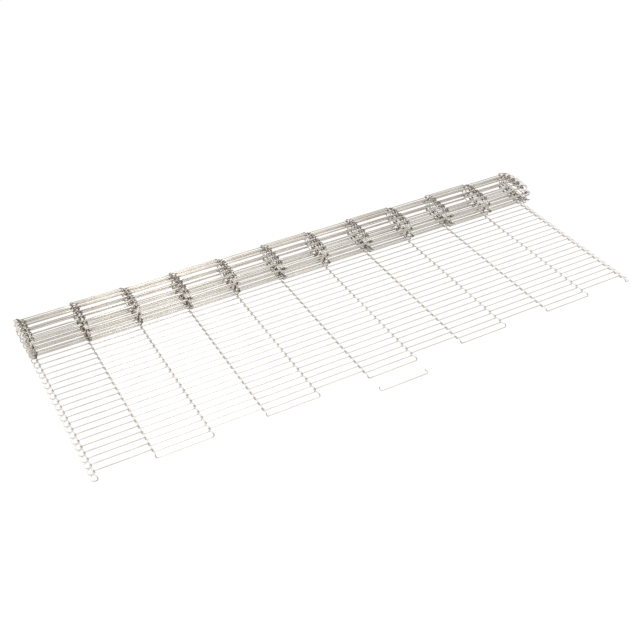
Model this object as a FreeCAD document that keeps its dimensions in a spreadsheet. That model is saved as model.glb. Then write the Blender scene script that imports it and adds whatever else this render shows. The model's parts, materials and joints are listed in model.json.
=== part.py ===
import FreeCAD, Part
import math
import os

# Wire mesh conveyor belt of the ladder type, partly unrolled.
# Every strand is one wire bent into a square wave across the belt: recessed bars in the odd spaces,
# forward bars in the even ones. At each joint line the leg between the two climbs over the recessed
# bar of the strand in front, drops and turns under that strand's own leg, so each strand hinges
# about its recessed bars in the hooks of the strand behind. The edges end in closed eyes.
# X runs across the belt, the free end points to -Y, the rolled end lies at +Y, the floor is Z = 0
# and the origin is the middle of the whole part's footprint.

Vector = FreeCAD.Vector
OUT_DIR = "parts"

# Millimetres, but for the counts.
SIZES = {
    "pitch": 12.7,
    "wire_diameter": 1.6,
    "wire_sides": 6,
    "space_width": 80.6,
    "space_count": 11,
    "apron_strands": 21,
    "side_clearance": 1.0,
    "over_clearance": 0.6,
    "under_clearance": 0.5,
    "lead_clearance": 0.5,
    "crest_lead": 0.9,
    "eye_reach": 7.1,
    "eye_back": 6.8,
    "eye_corner_cut": 2.5,
    "eye_tip_clearance": 0.35,
    "roll_half_width": 52.0,
    "roll_half_height": 23.5,
    "roll_wander": 5.0,
    "step_height": 5.3,
    "turn_spacing": 4.2,
    "core_radius": 4.0,
    "core_wall": 3.0,
    "groove_width": 1.2,
    "groove_depth": 2.5,
    "seat_gap": 0.3,
    "link_distance": 31.8,
    "link_bar_length": 75.7,
    "link_hook_length": 8.0,
    "link_corner_cut": 3.0,
}


def make_sheet(doc):
    """Sheet of the driving dimensions, one alias each."""
    sheet = doc.addObject("Spreadsheet::Sheet", "Sizes")
    for row, (name, value) in enumerate(SIZES.items(), start=1):
        sheet.set("A%d" % row, name)
        sheet.set("B%d" % row, str(value))
        sheet.setAlias("B%d" % row, name)
    doc.recompute()
    return sheet


class BeltForm:
    """Sizes read from the sheet and the lengths that follow from them."""

    def __init__(self, sheet):
        for name in SIZES:
            setattr(self, name, float(sheet.get(name)))
        self.wire_radius = self.wire_diameter / 2
        self.half_width = self.space_count * self.space_width / 2
        self.corner_offset = (self.wire_diameter + self.side_clearance) / 2
        self.bar_lead = 2 * self.wire_diameter + self.lead_clearance
        self.wave_depth = self.pitch + self.bar_lead
        self.crest_y = self.pitch + self.crest_lead
        self.hook_rise = self.wire_diameter + self.over_clearance
        leg_height = self.hook_rise * self.bar_lead / self.crest_y
        self.hook_drop = self.wire_diameter + self.under_clearance - leg_height
        self.recessed_z = self.wire_radius + self.hook_drop
        self.strand_width = 2 * (self.half_width + self.eye_reach + self.wire_radius)
        self.coil_width = self.strand_width + 2 * self.roll_wander
        self.place_along_belt()

    def place_along_belt(self):
        """Y of the lead strand and of the roll's axis, with the whole part centred on the origin."""
        girth = 2 * math.pi * math.hypot(self.roll_half_width, self.roll_half_height) / math.sqrt(2)
        self.turn_sides = round(girth / self.pitch)
        self.side_angle = 2 * math.pi / self.turn_sides
        self.axis_z = self.roll_half_height * math.cos(self.side_angle / 2)
        step_reach = self.roll_half_width * math.sin(self.side_angle / 2)
        lead_to_axis = self.wire_radius + self.seat_gap + step_reach
        back_reach = max(y for y, z in self.outer_turn())
        free_y = -self.apron_strands * self.pitch
        front = free_y - self.wave_depth - self.link_distance - self.wire_radius
        back = lead_to_axis + back_reach
        self.lead_y = -(front + back) / 2
        self.axis_y = self.lead_y + lead_to_axis
        self.link_y = self.lead_y + free_y - self.wave_depth - self.link_distance

    def spiral_point(self, depth, angle):
        """Point of the sagged oval roll, at a depth inside its outline, angle 0 straight down."""
        half_width = self.roll_half_width - depth
        half_height = self.roll_half_height - depth
        return half_width * math.sin(angle), -half_height * math.cos(angle)

    def outer_turn(self):
        """Corners of the outermost turn, from the foot of the step round to the step's top."""
        corners = []
        for side in range(self.turn_sides + 1):
            depth = self.step_height * max(0, side - 1) / (self.turn_sides - 1)
            corners.append(self.spiral_point(depth, (side - 0.5) * self.side_angle))
        corners[-1] = (corners[0][0], corners[-1][1])
        return corners

    def inner_turns(self):
        """Depth and angle of each corner on the line between the turns, from the step inwards."""
        corners = []
        side = 0
        depth = self.step_height
        while depth + self.groove_width < self.roll_half_height - self.core_radius - self.core_wall:
            corners.append((depth, side * self.side_angle))
            side += 1
            depth += self.turn_spacing / self.turn_sides
        return corners


def joint_points(form, joint_x, side):
    """Corner of the recessed bar, crest over the next strand's bar and corner of the forward bar.

    side is +1 where the recessed bar comes from the left, -1 where it comes from the right.
    """
    offset = form.corner_offset
    crest_offset = offset * (1 - 2 * form.crest_y / form.wave_depth)
    recessed = Vector(joint_x + side * offset, 0, form.recessed_z)
    crest = Vector(joint_x + side * crest_offset, -form.crest_y, form.recessed_z + form.hook_rise)
    forward = Vector(joint_x - side * offset, -form.wave_depth, form.wire_radius)
    return [recessed, crest, forward]


def right_eye_points(form):
    """Closed eye at the right edge: a ring from the hook back to the tip beside its own leg."""
    recessed, crest, forward = joint_points(form, form.half_width, 1)
    outer_x = form.half_width + form.eye_reach
    cut = form.eye_corner_cut
    beside_leg = recessed + (crest - recessed) * (form.eye_back / form.crest_y)
    tip = beside_leg + Vector(form.wire_diameter + form.eye_tip_clearance, 0, 0)
    rise = tip.z - form.wire_radius
    nose_start = Vector(outer_x - cut, -form.wave_depth, form.wire_radius)
    nose_end = Vector(outer_x, -form.wave_depth + cut, form.wire_radius)
    back_start = Vector(outer_x, tip.y - cut, form.wire_radius + rise / 3)
    back_end = Vector(outer_x - cut, tip.y, form.wire_radius + 2 * rise / 3)
    return [recessed, crest, forward, nose_start, nose_end, back_start, back_end, tip]


def strand_points(form):
    """Centre line of one strand from the left edge to the right, its recessed bars on Y = 0."""
    right_eye = right_eye_points(form)
    points = [Vector(-p.x, p.y, p.z) for p in reversed(right_eye)]
    for joint in range(1, int(form.space_count)):
        joint_x = joint * form.space_width - form.half_width
        side = 1 if joint % 2 else -1
        crossing = joint_points(form, joint_x, side)
        points += crossing if side > 0 else reversed(crossing)
    return points + right_eye


def link_points(form):
    """Centre line of the loose closing link: a bar with a short hook at each end."""
    half = form.link_bar_length / 2
    cut = form.link_corner_cut
    hook = form.link_hook_length
    floor_z = form.wire_radius
    return [
        Vector(-half, hook, floor_z),
        Vector(-half - cut / 2, cut, floor_z),
        Vector(-half, 0, floor_z),
        Vector(half, 0, floor_z),
        Vector(half + cut, cut, floor_z),
        Vector(half + cut / 2, hook, floor_z),
    ]


def sweep_wire(doc, name, points):
    """Wire of regular section swept along straight runs with mitred corners."""
    path = doc.addObject("Part::Feature", name + "_path")
    path.Shape = Part.makePolygon(points)
    section = doc.addObject("Part::RegularPolygon", name + "_section")
    section.setExpression("Polygon", "Sizes.wire_sides")
    section.setExpression("Circumradius", "Sizes.wire_diameter / 2")
    along = points[1] - points[0]
    section.Placement = FreeCAD.Placement(points[0], FreeCAD.Rotation(Vector(0, 0, 1), along))
    sweep = doc.addObject("Part::Sweep", name + "_wire")
    sweep.Sections = [section]
    sweep.Spine = (path, ["Edge%d" % (i + 1) for i in range(len(path.Shape.Edges))])
    sweep.Solid = True
    sweep.Transition = "Right corner"
    doc.recompute()
    return sweep


def place_copy(doc, label, source, y, steps=0):
    """Piece with the source's shape, set back to y and then forward by whole pitches."""
    piece = doc.addObject("Part::Feature", label)
    piece.Label = label
    piece.Shape = source.Shape
    piece.Placement = FreeCAD.Placement()
    piece.setExpression("Placement.Base.y", "%.6f - %d * Sizes.pitch" % (y, steps))
    return piece


def make_strands(doc, form):
    """Lead strand at the roll and the apron's hinged strands in front of it."""
    master = sweep_wire(doc, "strand", strand_points(form))
    strands = [place_copy(doc, "strand_lead", master, form.lead_y)]
    for number in range(1, int(form.apron_strands) + 1):
        strands.append(place_copy(doc, "strand_%02d" % number, master, form.lead_y, number))
    return strands


def make_link(doc, form):
    """Loose closing link on the floor in front of the free end."""
    link_wire = sweep_wire(doc, "link", link_points(form))
    return place_copy(doc, "splice_link", link_wire, form.link_y)


def extrude_along_x(doc, name, corners, length):
    """Prism along X, centred on X = 0, from (y, z) corners; length is a sheet expression."""
    points = [Vector(0, y, z) for y, z in corners]
    outline = doc.addObject("Part::Feature", name + "_outline")
    outline.Shape = Part.Face(Part.makePolygon(points + points[:1]))
    prism = doc.addObject("Part::Extrusion", name)
    prism.Base = outline
    prism.DirMode = "Custom"
    prism.Dir = Vector(1, 0, 0)
    prism.Symmetric = True
    prism.Solid = True
    prism.setExpression("LengthFwd", length)
    return prism


def cut(doc, name, base, tool):
    """Boolean difference of two objects."""
    result = doc.addObject("Part::Cut", name)
    result.Base = base
    result.Tool = tool
    return result


def groove_corners(form):
    """Band between two turns, as (y, z) corners round its outer line and back along its inner one."""
    corners = form.inner_turns()
    outer = [form.spiral_point(depth, angle) for depth, angle in corners]
    inner = [form.spiral_point(depth + form.groove_width, angle) for depth, angle in corners]
    return outer + inner[::-1]


def make_roll(doc, form):
    """Rolled part of the belt: one coil on a flat foot, with its bore and its turns on both ends.

    The loosely wound belt has sagged to an oval, and its turns have wandered sideways, so that the
    coil is wider than a strand.
    """
    width = "%.6f" % form.coil_width
    log = extrude_along_x(doc, "coil", form.outer_turn(), width)
    bore = doc.addObject("Part::Cylinder", "coil_bore")
    bore.setExpression("Radius", "Sizes.core_radius")
    bore.setExpression("Height", width)
    bore.Placement = FreeCAD.Placement(
        Vector(-form.coil_width / 2, 0, 0), FreeCAD.Rotation(Vector(0, 1, 0), 90))
    bored = cut(doc, "bored_coil", log, bore)

    middle = extrude_along_x(
        doc, "coil_middle", groove_corners(form), width + " - 2 * Sizes.groove_depth")
    full = extrude_along_x(doc, "groove_through", groove_corners(form), width)
    grooves = cut(doc, "end_grooves", full, middle)
    coil = cut(doc, "turned_coil", bored, grooves)
    doc.recompute()

    roll = place_copy(doc, "belt_roll", coil, form.axis_y)
    roll.Placement.Base.z = form.axis_z
    return roll


def check_document(doc, pieces):
    """Stop on any failed object and on any piece that is not one valid solid."""
    for item in doc.Objects:
        if "Invalid" in item.State or "Error" in item.State:
            raise RuntimeError("failed object: " + item.Name)
    for piece in pieces:
        shape = piece.Shape
        if shape.isNull() or not shape.isValid() or len(shape.Solids) != 1:
            raise RuntimeError("bad solid: " + piece.Label)


def main():
    doc = FreeCAD.newDocument("ConveyorBelt")
    form = BeltForm(make_sheet(doc))
    pieces = [make_roll(doc, form)] + make_strands(doc, form) + [make_link(doc, form)]
    doc.recompute()
    check_document(doc, pieces)

    os.makedirs(OUT_DIR, exist_ok=True)
    for piece in pieces:
        piece.Shape.exportStep(os.path.join(OUT_DIR, piece.Label + ".step"))
        print("%s volume %.1f mm3" % (piece.Label, piece.Shape.Volume))


main()
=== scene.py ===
import json
import math
import random

import bpy
import numpy as np
from mathutils import Matrix, Vector


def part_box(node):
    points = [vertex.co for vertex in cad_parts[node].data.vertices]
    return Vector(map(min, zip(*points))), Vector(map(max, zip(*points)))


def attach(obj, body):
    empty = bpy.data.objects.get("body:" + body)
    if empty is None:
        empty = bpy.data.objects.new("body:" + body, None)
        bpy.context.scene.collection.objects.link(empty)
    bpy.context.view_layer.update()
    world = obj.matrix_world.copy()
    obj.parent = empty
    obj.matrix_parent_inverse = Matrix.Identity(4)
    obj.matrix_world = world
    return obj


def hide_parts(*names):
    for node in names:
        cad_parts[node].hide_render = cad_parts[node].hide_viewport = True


# Looks of a ladder-type wire mesh conveyor belt: round drawn wire in place of the frame's plain
# hexagonal strands, and real wound strands in place of its solid coil. Lengths are in metres.

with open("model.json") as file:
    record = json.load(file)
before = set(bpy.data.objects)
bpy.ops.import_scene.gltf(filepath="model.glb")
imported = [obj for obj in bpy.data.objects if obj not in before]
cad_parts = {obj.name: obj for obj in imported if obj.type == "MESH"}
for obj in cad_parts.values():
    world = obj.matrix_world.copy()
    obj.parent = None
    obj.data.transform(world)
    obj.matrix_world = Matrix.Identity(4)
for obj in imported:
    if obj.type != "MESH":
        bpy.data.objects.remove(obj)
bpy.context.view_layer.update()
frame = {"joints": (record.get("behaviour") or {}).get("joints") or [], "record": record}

MM = 0.001

# The wire and its square wave across the belt.
WIRE_RADIUS = 0.8 * MM
WIRE_SIDES = 10
SPACE_WIDTH = 80.6 * MM
SPACE_COUNT = 11
HALF_WIDTH = SPACE_COUNT * SPACE_WIDTH / 2
CORNER_OFFSET = 1.3 * MM
WAVE_DEPTH = 16.4 * MM
CREST_LEAD = 0.9 * MM
CREST_RISE = 2.2 * MM
BEND_RADIUS = 1.9 * MM
BEND_STEPS = 4
LEAST_BEND = math.radians(4)
MOST_OF_RUN = 0.48
BAR_BOW = 0.35 * MM
BAR_SHARES = (0.25, 0.5, 0.75)

# The ring eyes at the edges.
EYE_REACH = 7.1 * MM
EYE_BACK = 6.8 * MM
EYE_CUT = 2.5 * MM
EYE_BEND = 4.2 * MM
TIP_GAP = 0.05 * MM

# The roll has sagged to an oval. Its hinge line starts under the axis and runs inwards turn by turn.
ROLL_HALF_WIDTH = 43.6 * MM
ROLL_SHIFT = 3.4 * MM
ROLL_SQUARENESS = 2.58
STEP_HEIGHT = 5.3 * MM
TURN_SPACING = 3.3 * MM
TURN_DRIFT = 1.5 * MM
TURN_RISE = 0.7 * MM
ROLL_TURNS = 3.53
ROLL_LIFT = 0.9 * MM
ROLL_WANDER = 3.5 * MM
HALVINGS = 40

# The loose closing link.
LINK_BAR = 75.7 * MM
LINK_HOOK = 8.0 * MM
LINK_CUT = 3.0 * MM

# Seeds of the bars' bows: the flat strands count up from the first, the wound ones from the second.
APRON_SEED = 100
ROLL_SEED = 200

joints = {joint["name"]: joint for joint in frame["joints"]}
apron_count = len(joints)
first_hinge = Vector(joints["hinge_01"]["pos_m"])
second_hinge = Vector(joints["hinge_02"]["pos_m"])
PITCH = first_hinge.y - second_hinge.y
LEAD_Y = first_hinge.y + PITCH
RECESSED_Z = first_hinge.z
FORWARD_DROP = RECESSED_Z - WIRE_RADIUS

roll_mount = next(m for m in frame["record"]["mounts"] if m["name"] == "roll_bore")
ROLL_AXIS = Vector(roll_mount["pos_m"])


def joint_points(joint_x, side):
    """Recessed corner, crest and forward corner at one joint line; side +1 has its bar on the left."""
    crest_y = PITCH + CREST_LEAD
    crest_offset = CORNER_OFFSET * (1 - 2 * crest_y / WAVE_DEPTH)
    return [
        (joint_x + side * CORNER_OFFSET, 0.0, 0.0),
        (joint_x + side * crest_offset, -crest_y, CREST_RISE),
        (joint_x - side * CORNER_OFFSET, -WAVE_DEPTH, -FORWARD_DROP),
    ]


def right_eye_points():
    """Hook and ring of the closed eye at the right edge, whose tip lies beside its own leg."""
    recessed, crest, forward = joint_points(HALF_WIDTH, 1)
    outer_x = HALF_WIDTH + EYE_REACH
    share = EYE_BACK / (PITCH + CREST_LEAD)
    tip_x = recessed[0] + share * (crest[0] - recessed[0]) + 2 * WIRE_RADIUS + TIP_GAP
    tip_z = share * CREST_RISE
    rise = tip_z + FORWARD_DROP
    return [
        recessed,
        crest,
        forward,
        (outer_x - EYE_CUT, -WAVE_DEPTH, -FORWARD_DROP),
        (outer_x, -WAVE_DEPTH + EYE_CUT, -FORWARD_DROP),
        (outer_x, -EYE_BACK - EYE_CUT, rise / 3 - FORWARD_DROP),
        (outer_x - EYE_CUT, -EYE_BACK, 2 * rise / 3 - FORWARD_DROP),
        (tip_x, -EYE_BACK, tip_z),
    ]


def bar_points(start, end, rng):
    """Inner points of a bar, bowed a little in the belt's plane."""
    bow = rng.uniform(-BAR_BOW, BAR_BOW)
    start, end = np.array(start), np.array(end)
    return [start + share * (end - start) + np.array([0, bow * math.sin(math.pi * share), 0])
            for share in BAR_SHARES]


def strand_corners(rng):
    """Corner points of one strand from left to right, with its recessed bars on Y = 0 and Z = 0."""
    right_eye = right_eye_points()
    groups = [[(-x, y, z) for x, y, z in reversed(right_eye)]]
    for joint in range(1, SPACE_COUNT):
        side = 1 if joint % 2 else -1
        crossing = joint_points(joint * SPACE_WIDTH - HALF_WIDTH, side)
        groups.append(crossing if side > 0 else crossing[::-1])
    groups.append(right_eye)
    points = []
    for group in groups:
        if points:
            points += bar_points(points[-1], group[0], rng)
        points += group
    return np.array(points, float)


def bend_radius(corner):
    """Radius of the wire's bend at a corner, larger round the ring eyes."""
    at_edge = abs(corner[0]) > HALF_WIDTH - 2 * CORNER_OFFSET
    in_ring = corner[1] < -EYE_BACK / 2 and corner[2] < CREST_RISE / 2
    return EYE_BEND if at_edge and in_ring else BEND_RADIUS


def round_corners(points):
    """The polyline with an arc in place of each inner corner that turns by LEAST_BEND or more.

    An arc takes up at most the share MOST_OF_RUN of each straight run beside it.
    """
    rounded = [points[0]]
    for before, corner, after in zip(points, points[1:], points[2:]):
        back, ahead = before - corner, after - corner
        back_length, ahead_length = np.linalg.norm(back), np.linalg.norm(ahead)
        back, ahead = back / back_length, ahead / ahead_length
        turn = math.pi - math.acos(np.clip(back @ ahead, -1, 1))
        if turn < LEAST_BEND:
            rounded.append(corner)
            continue
        tangent = min(bend_radius(corner) * math.tan(turn / 2),
                      MOST_OF_RUN * back_length, MOST_OF_RUN * ahead_length)
        arc_radius = tangent / math.tan(turn / 2)
        inward = (back + ahead) / np.linalg.norm(back + ahead)
        centre = corner + inward * arc_radius / math.cos(turn / 2)
        start = corner + back * tangent - centre
        side = np.cross(np.cross(start, -back), start)
        side *= arc_radius / np.linalg.norm(side)
        for step in range(BEND_STEPS + 1):
            angle = turn * step / BEND_STEPS
            rounded.append(centre + start * math.cos(angle) + side * math.sin(angle))
    rounded.append(points[-1])
    return np.array(rounded)


def tube_rings(line):
    """Rings of vertices about a wire's centre line, with no twist between them."""
    runs = np.diff(line, axis=0)
    runs /= np.linalg.norm(runs, axis=1)[:, None]
    tangents = np.vstack([runs[:1], runs[:-1] + runs[1:], runs[-1:]])
    tangents /= np.linalg.norm(tangents, axis=1)[:, None]
    normal = np.cross(tangents[0], (0, 0, 1.0))
    angles = 2 * math.pi * np.arange(WIRE_SIDES) / WIRE_SIDES
    rings = []
    for point, tangent in zip(line, tangents):
        normal = normal - tangent * (normal @ tangent)
        normal /= np.linalg.norm(normal)
        binormal = np.cross(tangent, normal)
        rings.append(point + WIRE_RADIUS * (np.outer(np.cos(angles), normal)
                                            + np.outer(np.sin(angles), binormal)))
    return np.concatenate(rings)


def tube_faces(ring_count, offset):
    """Quads between the rings and one face across each end of the wire."""
    faces = []
    for ring in range(ring_count - 1):
        low = offset + ring * WIRE_SIDES
        for i in range(WIRE_SIDES):
            j = (i + 1) % WIRE_SIDES
            faces.append((low + i, low + j, low + WIRE_SIDES + j, low + WIRE_SIDES + i))
    faces.append(tuple(offset + i for i in reversed(range(WIRE_SIDES))))
    last = offset + (ring_count - 1) * WIRE_SIDES
    faces.append(tuple(last + i for i in range(WIRE_SIDES)))
    return faces


def wire_piece(name, wires, material, body, nodes):
    """One object of round wires, riding on a body in place of the CAD nodes.

    A wire is its line as it is bent, kept on the mesh for the material, and its line as it lies.
    """
    verts, faces, bent = [], [], []
    count = 0
    for form, line in wires:
        rings = tube_rings(line)
        verts.append(rings)
        faces += tube_faces(len(line), count)
        bent.append(np.repeat(form, WIRE_SIDES, axis=0))
        count += len(rings)
    mesh = bpy.data.meshes.new(name)
    mesh.from_pydata(np.concatenate(verts).tolist(), [], faces)
    mesh.shade_smooth()
    place_on_strand = mesh.attributes.new("place_on_strand", "FLOAT_VECTOR", "POINT")
    place_on_strand.data.foreach_set("vector", np.concatenate(bent).ravel())
    piece = bpy.data.objects.new(name, mesh)
    bpy.context.scene.collection.objects.link(piece)
    mesh.materials.append(material)
    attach(piece, body)
    if nodes:
        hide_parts(*nodes)


def strand_line(seed):
    """Centre line of one strand in its own frame; each seed bows the bars in its own way."""
    return round_corners(strand_corners(random.Random(seed)))


def placed(line, matrix):
    """The line moved by a 4 x 4 matrix."""
    m = np.array(matrix)
    return line @ m[:3, :3].T + m[:3, 3]


def make_apron(material):
    """The lead strand and the hinged strands on the floor in front of the roll."""
    for number in range(apron_count + 1):
        label = "lead" if number == 0 else "%02d" % number
        body = "roll" if number == 0 else "strand_" + label
        place = Matrix.Translation((0, LEAD_Y - number * PITCH, RECESSED_Z))
        form = strand_line(APRON_SEED + number)
        wires = [(form, placed(form, place))]
        wire_piece("wire_" + label, wires, material, body, ["strand_" + label])


def roll_spot(angle):
    """Place on the wound belt's hinge line, its angle counted from straight down towards +Y."""
    turns = angle / (2 * math.pi)
    depth = STEP_HEIGHT * min(turns, 1) + TURN_SPACING * max(0, turns - 1)
    half_width = ROLL_HALF_WIDTH - depth
    half_height = ROLL_AXIS.z - RECESSED_Z - ROLL_LIFT - depth
    across, upright = (math.copysign(abs(part) ** (2 / ROLL_SQUARENESS), part)
                       for part in (math.sin(angle), -math.cos(angle)))
    y = ROLL_AXIS.y + ROLL_SHIFT + TURN_DRIFT * turns + half_width * across
    return Vector((0, y, ROLL_AXIS.z + TURN_RISE * turns + half_height * upright))


def roll_hinges():
    """Turns wound so far and hinge line of each strand from the lead strand inwards, a pitch apart."""
    spots = [(0.0, Vector((0, LEAD_Y, RECESSED_Z)))]
    angle = 0.0
    while angle < 2 * math.pi * ROLL_TURNS:
        low, high = angle, angle + math.pi / 2
        for _ in range(HALVINGS):
            angle = (low + high) / 2
            if (roll_spot(angle) - spots[-1][1]).length < PITCH:
                low = angle
            else:
                high = angle
        spots.append((angle / (2 * math.pi), roll_spot(angle)))
    return spots


def make_roll(material):
    """Wound strands, each hooked on the one before it, joined turn by turn."""
    spots = roll_hinges()
    turns = {}
    for number, ((_, front), (turned, own)) in enumerate(zip(spots, spots[1:]), start=1):
        tilt = math.atan2(own.z - front.z, own.y - front.y)
        aside = -ROLL_WANDER * math.sin(math.pi * turned)
        place = Matrix.Translation(own + Vector((aside, 0, 0))) @ Matrix.Rotation(tilt, 4, "X")
        form = strand_line(ROLL_SEED + number)
        line = placed(form, place)
        line[:, 2] += max(0, WIRE_RADIUS - line[:, 2].min())
        turns.setdefault(int(turned), []).append((form, line))
    for turn, wires in turns.items():
        nodes = ["belt_roll"] if turn == 0 else []
        wire_piece("roll_turn_%d" % (turn + 1), wires, material, "roll", nodes)


def make_link(material):
    """The loose closing link on the floor, whose line also serves as its form for the material."""
    low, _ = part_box("splice_link")
    bar_y = low.y + WIRE_RADIUS
    half = LINK_BAR / 2
    z = WIRE_RADIUS
    points = np.array([
        (-half, bar_y + LINK_HOOK, z),
        (-half - LINK_CUT / 2, bar_y + LINK_CUT, z),
        (-half, bar_y, z),
        (half, bar_y, z),
        (half + LINK_CUT, bar_y + LINK_CUT, z),
        (half + LINK_CUT / 2, bar_y + LINK_HOOK, z),
    ])
    line = round_corners(points)
    wire_piece("link_wire", [(line, line)], material, "roll", ["splice_link"])


def shader_tree(material):
    """The material's fresh node tree and its Principled BSDF."""
    material.use_nodes = True
    tree = material.node_tree
    return tree, tree.nodes["Principled BSDF"]


def ramp_node(tree, source, start, end):
    """Value that rises from 0 where the source is start to 1 where it is end."""
    ramp = tree.nodes.new("ShaderNodeMapRange")
    ramp.interpolation_type = "SMOOTHSTEP"
    ramp.inputs["From Min"].default_value = start
    ramp.inputs["From Max"].default_value = end
    tree.links.new(source, ramp.inputs["Value"])
    return ramp.outputs["Result"]


def math_node(tree, operation, first, second):
    """Result of one operation on a socket and a socket or number."""
    node = tree.nodes.new("ShaderNodeMath")
    node.operation = operation
    tree.links.new(first, node.inputs[0])
    if isinstance(second, float):
        node.inputs[1].default_value = second
    else:
        tree.links.new(second, node.inputs[1])
    return node.outputs[0]


def noise_node(tree, place, scale, detail):
    """Noise at a place, as a value from 0 to 1."""
    noise = tree.nodes.new("ShaderNodeTexNoise")
    noise.inputs["Scale"].default_value = scale
    noise.inputs["Detail"].default_value = detail
    tree.links.new(place, noise.inputs["Vector"])
    return noise.outputs["Fac"]


# Where the staining and painted shade of the hooks fade in: distance from a joint line, and place
# along the strand's leg.
SHADE_AND_STAIN_BESIDE_JOINT = (3.4 * MM, 1.8 * MM)
SHADE_AND_STAIN_IN_HOOK = (-11.2 * MM, -12.8 * MM)
SHADE_AND_STAIN_ON_BAR_END = (-1.8 * MM, -0.6 * MM)
# Dark brown of the hooks: staining, and painted shade where the crossing wires shade one another.
SHADE_AND_STAIN_COLOUR = (0.10, 0.085, 0.07, 1)

# Drawing lines run along the bars, so their noise is stretched in X.
DRAWN_SCALE = (60, 2500, 2500)
DRAWN_DETAIL = 3.0
DRAWN_ROUGHNESS = (0.12, 0.2)
DRAWN_BUMP = 0.12
DRAWN_DEPTH = 0.05 * MM
TARNISH_SCALE = 38.0
TARNISH_DETAIL = 4.0
TARNISH_RANGE = (0.3, 0.7)


def hook_shade_and_stain(tree):
    """Share of staining and painted shade on the wire: full in the hooks and on the bars' ends that
    turn in them.
    """
    place = tree.nodes.new("ShaderNodeAttribute")
    place.attribute_name = "place_on_strand"
    split = tree.nodes.new("ShaderNodeSeparateXYZ")
    tree.links.new(place.outputs["Vector"], split.inputs["Vector"])
    across = math_node(tree, "ADD", split.outputs["X"], HALF_WIDTH)
    beside = math_node(tree, "PINGPONG", across, SPACE_WIDTH / 2)
    near_joint = ramp_node(tree, beside, *SHADE_AND_STAIN_BESIDE_JOINT)
    hook = ramp_node(tree, split.outputs["Y"], *SHADE_AND_STAIN_IN_HOOK)
    bar_end = ramp_node(tree, split.outputs["Y"], *SHADE_AND_STAIN_ON_BAR_END)
    return math_node(tree, "MULTIPLY", near_joint, math_node(tree, "MAXIMUM", hook, bar_end))


def stainless(name, dull, bright, shade_and_stain):
    """Drawn stainless wire: fine lines along the bars, slight tarnish, and hooks darkened by staining
    and painted shade.
    """
    material = bpy.data.materials.new(name)
    tree, shader = shader_tree(material)
    nodes, links = tree.nodes, tree.links
    shader.inputs["Metallic"].default_value = 1.0
    place = nodes.new("ShaderNodeTexCoord")
    stretch = nodes.new("ShaderNodeMapping")
    stretch.inputs["Scale"].default_value = DRAWN_SCALE
    links.new(place.outputs["Object"], stretch.inputs["Vector"])
    lines = noise_node(tree, stretch.outputs["Vector"], 1.0, DRAWN_DETAIL)
    patches = noise_node(tree, place.outputs["Object"], TARNISH_SCALE, TARNISH_DETAIL)

    tint = nodes.new("ShaderNodeValToRGB")
    for element, position, colour in zip(tint.color_ramp.elements, TARNISH_RANGE, (dull, bright)):
        element.position = position
        element.color = (*colour, 1)
    links.new(patches, tint.inputs["Fac"])
    # Painted shade and staining darken the hooks over the tarnish.
    shaded_and_stained = nodes.new("ShaderNodeMix")
    shaded_and_stained.data_type = "RGBA"
    shaded_and_stained.inputs["B"].default_value = SHADE_AND_STAIN_COLOUR
    links.new(math_node(tree, "MULTIPLY", hook_shade_and_stain(tree), shade_and_stain), shaded_and_stained.inputs["Factor"])
    links.new(tint.outputs["Color"], shaded_and_stained.inputs["A"])
    links.new(shaded_and_stained.outputs["Result"], shader.inputs["Base Color"])

    rough = nodes.new("ShaderNodeMapRange")
    rough.inputs["To Min"].default_value, rough.inputs["To Max"].default_value = DRAWN_ROUGHNESS
    links.new(lines, rough.inputs["Value"])
    links.new(rough.outputs["Result"], shader.inputs["Roughness"])
    bump = nodes.new("ShaderNodeBump")
    bump.inputs["Strength"].default_value = DRAWN_BUMP
    bump.inputs["Distance"].default_value = DRAWN_DEPTH
    links.new(lines, bump.inputs["Height"])
    links.new(bump.outputs["Normal"], shader.inputs["Normal"])
    return material


# The studio. The floor is mostly white to the camera and in reflections, and keeps a faint shadow.
FLOOR_REACH = 6.0
FLOOR_DROP = 0.2 * MM
FLOOR_GREY = 0.9
FLOOR_ROUGHNESS = 0.9
FLOOR_WHITE = 1.04
FLOOR_WHITE_SHARE = 0.93

# The backdrop that the wires reflect grows brighter with the Y of the reflected direction, from the
# dim side before the belt to the bright side behind it. ROOM_FILL is its strength for other light.
DIM_SIDE = 0.5
BRIGHT_SIDE = 1.25
DIM_SIDE_Y = -0.7
BRIGHT_SIDE_Y = 0.5
ROOM_FILL = 0.75

# Strip lamps: name, place in X, width and power. They point at one line along the belt.
LAMPS = [("key_strip", 0.2, 0.42, 6.0), ("fill_strip", 0.66, 0.5, 2.3)]
LAMP_LENGTH = 2.0
LAMP_Y = 0.1
LAMP_HEIGHT = 1.8
LAMP_AIM_X = -0.25


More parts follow.
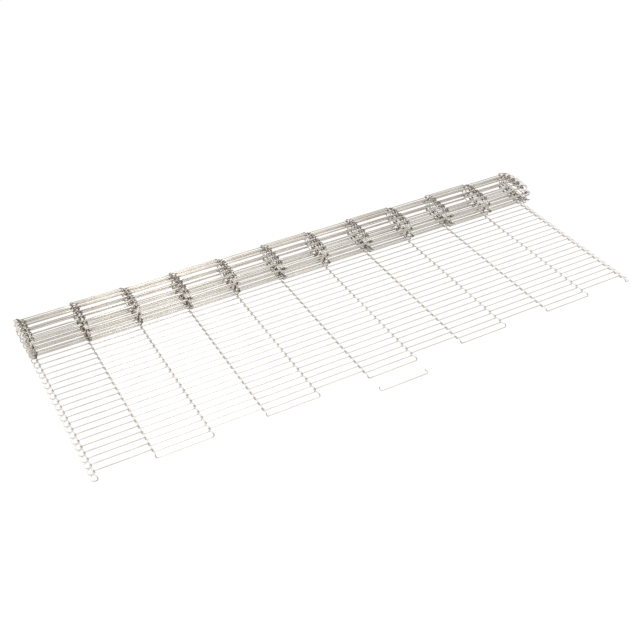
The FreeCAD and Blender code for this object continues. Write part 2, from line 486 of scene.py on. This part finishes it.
def make_floor():
    """Plain pale floor that shows white to the camera and keeps a faint shadow."""
    mesh = bpy.data.meshes.new("floor")
    corners = [(-1, -1), (1, -1), (1, 1), (-1, 1)]
    mesh.from_pydata([(x * FLOOR_REACH, y * FLOOR_REACH, 0) for x, y in corners], [], [(0, 1, 2, 3)])
    floor = bpy.data.objects.new("floor", mesh)
    bpy.context.scene.collection.objects.link(floor)
    floor.location.z = -FLOOR_DROP
    material = bpy.data.materials.new("pale_floor")
    tree, shader = shader_tree(material)
    nodes, links = tree.nodes, tree.links
    shader.inputs["Base Color"].default_value = (FLOOR_GREY, FLOOR_GREY, FLOOR_GREY, 1)
    shader.inputs["Roughness"].default_value = FLOOR_ROUGHNESS
    shader.inputs["Specular IOR Level"].default_value = 0.0
    white = nodes.new("ShaderNodeEmission")
    white.inputs["Strength"].default_value = FLOOR_WHITE
    rays = nodes.new("ShaderNodeLightPath")
    seen = math_node(tree, "MAXIMUM", rays.outputs["Is Camera Ray"], rays.outputs["Is Glossy Ray"])
    mix = nodes.new("ShaderNodeMixShader")
    links.new(math_node(tree, "MULTIPLY", seen, FLOOR_WHITE_SHARE), mix.inputs["Fac"])
    links.new(shader.outputs["BSDF"], mix.inputs[1])
    links.new(white.outputs["Emission"], mix.inputs[2])
    links.new(mix.outputs["Shader"], nodes["Material Output"].inputs["Surface"])
    mesh.materials.append(material)


def make_world():
    """White studio: the wires reflect a bright backdrop behind them and a dimmer room before them."""
    world = bpy.data.worlds.new("studio")
    bpy.context.scene.world = world
    world.use_nodes = True
    tree = world.node_tree
    nodes, links = tree.nodes, tree.links
    background = nodes["Background"]
    background.inputs["Color"].default_value = (1, 1, 1, 1)
    rays = nodes.new("ShaderNodeLightPath")
    seen = math_node(tree, "MAXIMUM", rays.outputs["Is Camera Ray"], rays.outputs["Is Glossy Ray"])
    strength = nodes.new("ShaderNodeMix")
    strength.inputs["A"].default_value = ROOM_FILL
    links.new(seen, strength.inputs["Factor"])
    links.new(strength.outputs["Result"], background.inputs["Strength"])
    place = nodes.new("ShaderNodeTexCoord")
    split = nodes.new("ShaderNodeSeparateXYZ")
    links.new(place.outputs["Generated"], split.inputs["Vector"])
    backdrop = nodes.new("ShaderNodeMapRange")
    backdrop.inputs["From Min"].default_value = DIM_SIDE_Y
    backdrop.inputs["From Max"].default_value = BRIGHT_SIDE_Y
    backdrop.inputs["To Min"].default_value = DIM_SIDE
    backdrop.inputs["To Max"].default_value = BRIGHT_SIDE
    links.new(split.outputs["Y"], backdrop.inputs["Value"])
    plain = math_node(tree, "MAXIMUM", rays.outputs["Is Camera Ray"], backdrop.outputs["Result"])
    links.new(plain, strength.inputs["B"])


def make_light():
    """Soft strip lamps above the belt, along its length, which some of the bars reflect."""
    for name, x, width, power in LAMPS:
        lamp = bpy.data.lights.new(name, "AREA")
        lamp.shape = "RECTANGLE"
        lamp.size = width
        lamp.size_y = LAMP_LENGTH
        lamp.energy = power
        softbox = bpy.data.objects.new(name, lamp)
        bpy.context.scene.collection.objects.link(softbox)
        softbox.location = (x, LAMP_Y, LAMP_HEIGHT)
        softbox.rotation_euler.y = math.atan2(x - LAMP_AIM_X, LAMP_HEIGHT)


# Camera from a fit to the photograph: its place is in pitches from the left end of the free
# strand's recessed bars, its turn from +Y towards +X, its dip below the horizon and its roll.
CAMERA_SPOT = Vector((-13.435, -72.413, 72.891))
CAMERA_TURN = math.radians(28.70)
CAMERA_DIP = math.radians(37.59)
CAMERA_ROLL = math.radians(-0.42)
FOCAL_PIXELS = 990.58
FRAME_PIXELS = 640
SENSOR = 36.0
FARTHEST_SEEN = 20


def make_camera():
    """Camera at the photograph's viewing angle."""
    data = bpy.data.cameras.new("camera")
    data.sensor_width = SENSOR
    data.lens = SENSOR * FOCAL_PIXELS / FRAME_PIXELS
    data.clip_end = FARTHEST_SEEN
    camera = bpy.data.objects.new("camera", data)
    bpy.context.scene.collection.objects.link(camera)
    free_corner = Vector((-HALF_WIDTH, LEAD_Y - apron_count * PITCH, RECESSED_Z))
    ahead = Vector((math.sin(CAMERA_TURN) * math.cos(CAMERA_DIP),
                    math.cos(CAMERA_TURN) * math.cos(CAMERA_DIP),
                    -math.sin(CAMERA_DIP)))
    level = Vector((math.cos(CAMERA_TURN), -math.sin(CAMERA_TURN), 0))
    upright = level.cross(ahead)
    right = math.cos(CAMERA_ROLL) * level + math.sin(CAMERA_ROLL) * upright
    up = -math.sin(CAMERA_ROLL) * level + math.cos(CAMERA_ROLL) * upright
    turn = Matrix((right, up, -ahead)).transposed().to_4x4()
    camera.matrix_world = Matrix.Translation(free_corner + CAMERA_SPOT * PITCH) @ turn
    bpy.context.scene.camera = camera


# Each steel has its dull and bright tone and the strength of its hooks' staining and painted shade.
# The wound wire is the same steel painted darker: painted shade for the roll's layers, which shade one
# another.
flat_wire = stainless("drawn_stainless", (0.70, 0.655, 0.595), (0.82, 0.785, 0.735), 0.2)
# Painted shade: the wound copy is darker, and its hooks darker still.
shaded_wound_wire = stainless("wound_stainless_shaded", (0.62, 0.575, 0.515), (0.75, 0.71, 0.65), 0.85)
make_apron(flat_wire)
make_roll(shaded_wound_wire)
make_link(flat_wire)
make_floor()
make_world()
make_light()
make_camera()
bpy.context.scene.view_settings.view_transform = "Standard"
